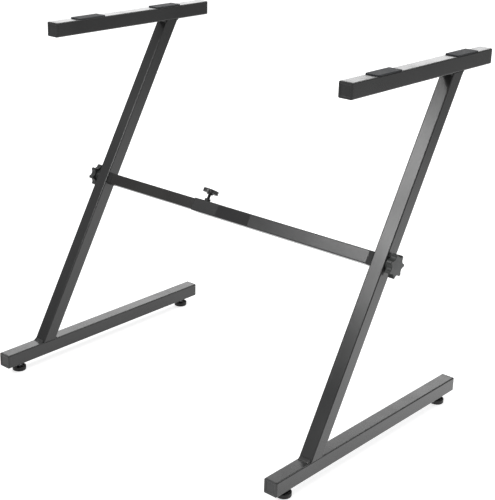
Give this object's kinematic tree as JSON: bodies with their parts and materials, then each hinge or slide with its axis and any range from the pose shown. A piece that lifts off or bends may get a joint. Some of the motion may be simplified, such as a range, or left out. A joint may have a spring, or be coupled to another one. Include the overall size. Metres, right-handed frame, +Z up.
{
  "type": "keyboard stand",
  "caption": "Keyboard stand of two Z-shaped square-tube frames with padded arms, clamped by star knobs to a telescoping crossbar and standing on levelling feet.",
  "frame": {"origin": "on the floor, at the middle of the stand's bounding box, under the middle of the crossbar", "axes": "+X along the crossbar from the left frame to the right one, +Y from the front of the feet to the back, where the arms overhang, +Z up"},
  "size_m": [0.687, 0.5156, 0.626],
  "materials": {
    "frame_paint": "satin dark grey powder coat",
    "bar_paint": "satin dark grey powder coat",
    "black_plastic": "matt black moulded plastic",
    "knob_plastic": "satin dark grey moulded plastic",
    "pad_rubber": "matt dark grey rubber",
    "foot_rubber": "matt black rubber",
    "black_steel": "blackened steel",
    "plated_steel": "zinc-plated steel"
  },
  "bodies": {
    "right_frame": {"right_foot_tube": "frame_paint", "right_upright_tube": "frame_paint", "right_arm_tube": "frame_paint", "right_weld_beads": "frame_paint", "right_foot_front_plug": "black_plastic", "right_foot_rear_plug": "black_plastic", "right_arm_front_plug": "black_plastic", "right_arm_rear_plug": "black_plastic", "right_front_pad": "pad_rubber", "right_rear_pad": "pad_rubber"},
    "left_frame": {"left_foot_tube": "frame_paint", "left_upright_tube": "frame_paint", "left_arm_tube": "frame_paint", "left_weld_beads": "frame_paint", "left_foot_front_plug": "black_plastic", "left_foot_rear_plug": "black_plastic", "left_arm_front_plug": "black_plastic", "left_arm_rear_plug": "black_plastic", "left_front_pad": "pad_rubber", "left_rear_pad": "pad_rubber"},
    "crossbar_outer": {"crossbar_outer_tube": "bar_paint", "crossbar_weld_nut": "bar_paint", "right_end_block": "black_plastic"},
    "crossbar_inner": {"crossbar_inner_tube": "bar_paint", "left_end_block": "black_plastic"},
    "right_clamp_bolt": {"right_clamp_bolt": "plated_steel"},
    "right_star_knob": {"right_star_knob": "knob_plastic"},
    "left_clamp_bolt": {"left_clamp_bolt": "plated_steel"},
    "left_star_knob": {"left_star_knob": "knob_plastic"},
    "thumb_screw_shank": {"thumb_screw_shank": "black_steel"},
    "thumb_screw_head": {"thumb_screw_head": "black_plastic"},
    "right_front_foot_stud": {"right_front_foot_stud": "plated_steel"},
    "right_front_foot_disc": {"right_front_foot_disc": "foot_rubber"},
    "right_rear_foot_stud": {"right_rear_foot_stud": "plated_steel"},
    "right_rear_foot_disc": {"right_rear_foot_disc": "foot_rubber"},
    "left_front_foot_stud": {"left_front_foot_stud": "plated_steel"},
    "left_front_foot_disc": {"left_front_foot_disc": "foot_rubber"},
    "left_rear_foot_stud": {"left_rear_foot_stud": "plated_steel"},
    "left_rear_foot_disc": {"left_rear_foot_disc": "foot_rubber"}
  },
  "joints": [
    {"name": "right_frame_swing", "type": "hinge", "parent": "right_frame", "child": "crossbar_outer", "pos_m": [0.315, 0, 0.3195], "axis": [1, 0, 0], "continuous": true},
    {"name": "crossbar_telescope", "type": "slide", "parent": "crossbar_outer", "child": "crossbar_inner", "axis": [1, 0, 0], "range_m": [-0.075, 0.205]},
    {"name": "left_frame_swing", "type": "hinge", "parent": "crossbar_inner", "child": "left_frame", "pos_m": [-0.315, 0, 0.3195], "axis": [1, 0, 0], "continuous": true},
    {"name": "right_knob_travel", "type": "slide", "parent": "crossbar_outer", "child": "right_clamp_bolt", "axis": [1, 0, 0], "range_m": [0, 0.005]},
    {"name": "right_knob_turn", "type": "hinge", "parent": "right_clamp_bolt", "child": "right_star_knob", "pos_m": [0.3275, 0, 0.3195], "axis": [1, 0, 0], "range_deg": [0, 1440]},
    {"name": "left_knob_travel", "type": "slide", "parent": "crossbar_inner", "child": "left_clamp_bolt", "axis": [-1, 0, 0], "range_m": [0, 0.005]},
    {"name": "left_knob_turn", "type": "hinge", "parent": "left_clamp_bolt", "child": "left_star_knob", "pos_m": [-0.3275, 0, 0.3195], "axis": [-1, 0, 0], "range_deg": [0, 1440]},
    {"name": "thumb_screw_travel", "type": "slide", "parent": "crossbar_outer", "child": "thumb_screw_shank", "axis": [0, 0.5, 0.866], "range_m": [0, 0.003]},
    {"name": "thumb_screw_turn", "type": "hinge", "parent": "thumb_screw_shank", "child": "thumb_screw_head", "pos_m": [-0.064, 0, 0.3195], "axis": [0, 0.5, 0.866], "range_deg": [0, 1080]},
    {"name": "right_front_foot_travel", "type": "slide", "parent": "right_frame", "child": "right_front_foot_stud", "axis": [0, 0, -1], "range_m": [-0.005, 0.0075]},
    {"name": "right_front_foot_turn", "type": "hinge", "parent": "right_front_foot_stud", "child": "right_front_foot_disc", "pos_m": [0.315, -0.2248, 0.008], "axis": [0, 0, -1], "range_deg": [-1440, 2160]},
    {"name": "right_rear_foot_travel", "type": "slide", "parent": "right_frame", "child": "right_rear_foot_stud", "axis": [0, 0, -1], "range_m": [-0.005, 0.0075]},
    {"name": "right_rear_foot_turn", "type": "hinge", "parent": "right_rear_foot_stud", "child": "right_rear_foot_disc", "pos_m": [0.315, 0.2002, 0.008], "axis": [0, 0, -1], "range_deg": [-1440, 2160]},
    {"name": "left_front_foot_travel", "type": "slide", "parent": "left_frame", "child": "left_front_foot_stud", "axis": [0, 0, -1], "range_m": [-0.005, 0.0075]},
    {"name": "left_front_foot_turn", "type": "hinge", "parent": "left_front_foot_stud", "child": "left_front_foot_disc", "pos_m": [-0.315, -0.2248, 0.008], "axis": [0, 0, -1], "range_deg": [-1440, 2160]},
    {"name": "left_rear_foot_travel", "type": "slide", "parent": "left_frame", "child": "left_rear_foot_stud", "axis": [0, 0, -1], "range_m": [-0.005, 0.0075]},
    {"name": "left_rear_foot_turn", "type": "hinge", "parent": "left_rear_foot_stud", "child": "left_rear_foot_disc", "pos_m": [-0.315, 0.2002, 0.008], "axis": [0, 0, -1], "range_deg": [-1440, 2160]}
  ],
  "couplings": [
    {"joint": "right_knob_travel", "follows": "right_knob_turn", "m_per_rad": 0.00019894},
    {"joint": "left_knob_travel", "follows": "left_knob_turn", "m_per_rad": 0.00019894},
    {"joint": "thumb_screw_travel", "follows": "thumb_screw_turn", "m_per_rad": 0.00015915},
    {"joint": "right_front_foot_travel", "follows": "right_front_foot_turn", "m_per_rad": 0.00019894},
    {"joint": "right_rear_foot_travel", "follows": "right_rear_foot_turn", "m_per_rad": 0.00019894},
    {"joint": "left_front_foot_travel", "follows": "left_front_foot_turn", "m_per_rad": 0.00019894},
    {"joint": "left_rear_foot_travel", "follows": "left_rear_foot_turn", "m_per_rad": 0.00019894}
  ]
}
